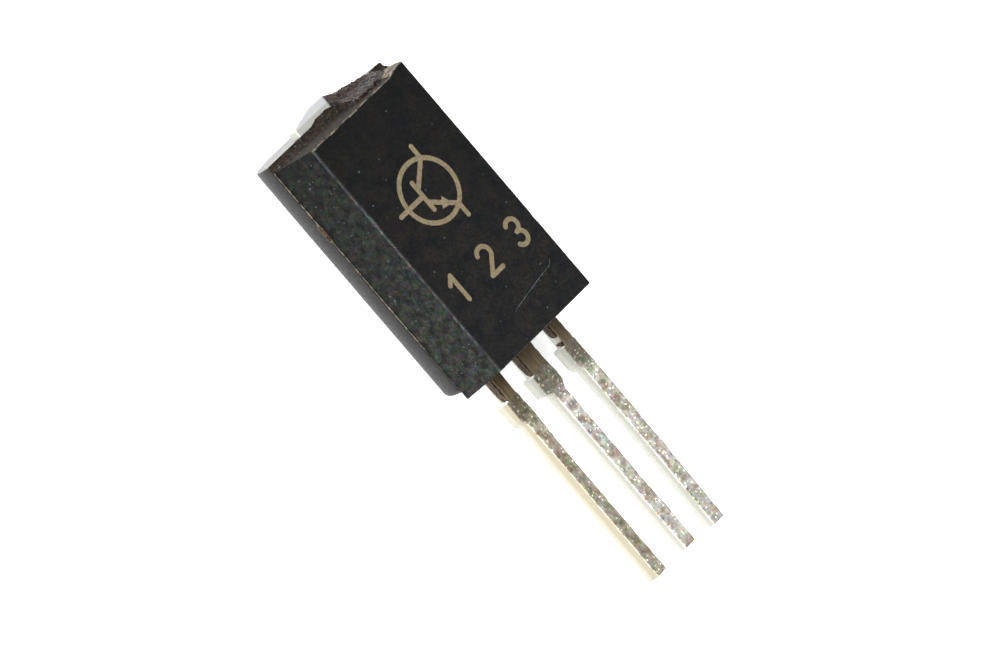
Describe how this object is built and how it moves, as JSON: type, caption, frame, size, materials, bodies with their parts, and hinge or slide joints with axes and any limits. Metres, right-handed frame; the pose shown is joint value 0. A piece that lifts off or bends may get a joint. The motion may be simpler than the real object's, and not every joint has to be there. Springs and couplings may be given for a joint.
{
  "type": "to-92 transistor",
  "caption": "Bipolar transistor in a long moulded TO-92 case: flat marked face, round back, printed symbol and pin numbers, straight flat leads cut short.",
  "frame": {"origin": "On the surface the part rests on, under the middle of its outline, seen from above", "axes": "+Z out of the flat marked face, which faces up; +Y along the case from the lead tips to the top end; +X across the leads from the emitter to the base"},
  "size_m": [0.005, 0.0158, 0.0039],
  "materials": {
    "case_resin": "moulded black epoxy, satin",
    "tinned_lead": "tin-plated copper alloy, dull and speckled",
    "silicon": "polished silicon",
    "solder": "soft solder",
    "bond_wire": "gold wire",
    "marking_ink": "cream marking ink, matte"
  },
  "bodies": {
    "root": {"case": "case_resin", "emitter_lead": "tinned_lead", "collector_lead": "tinned_lead", "base_lead": "tinned_lead", "silicon_chip": "silicon", "chip_solder": "solder", "emitter_wire": "bond_wire", "base_wire": "bond_wire", "printed_marking": "marking_ink"}
  },
  "joints": []
}
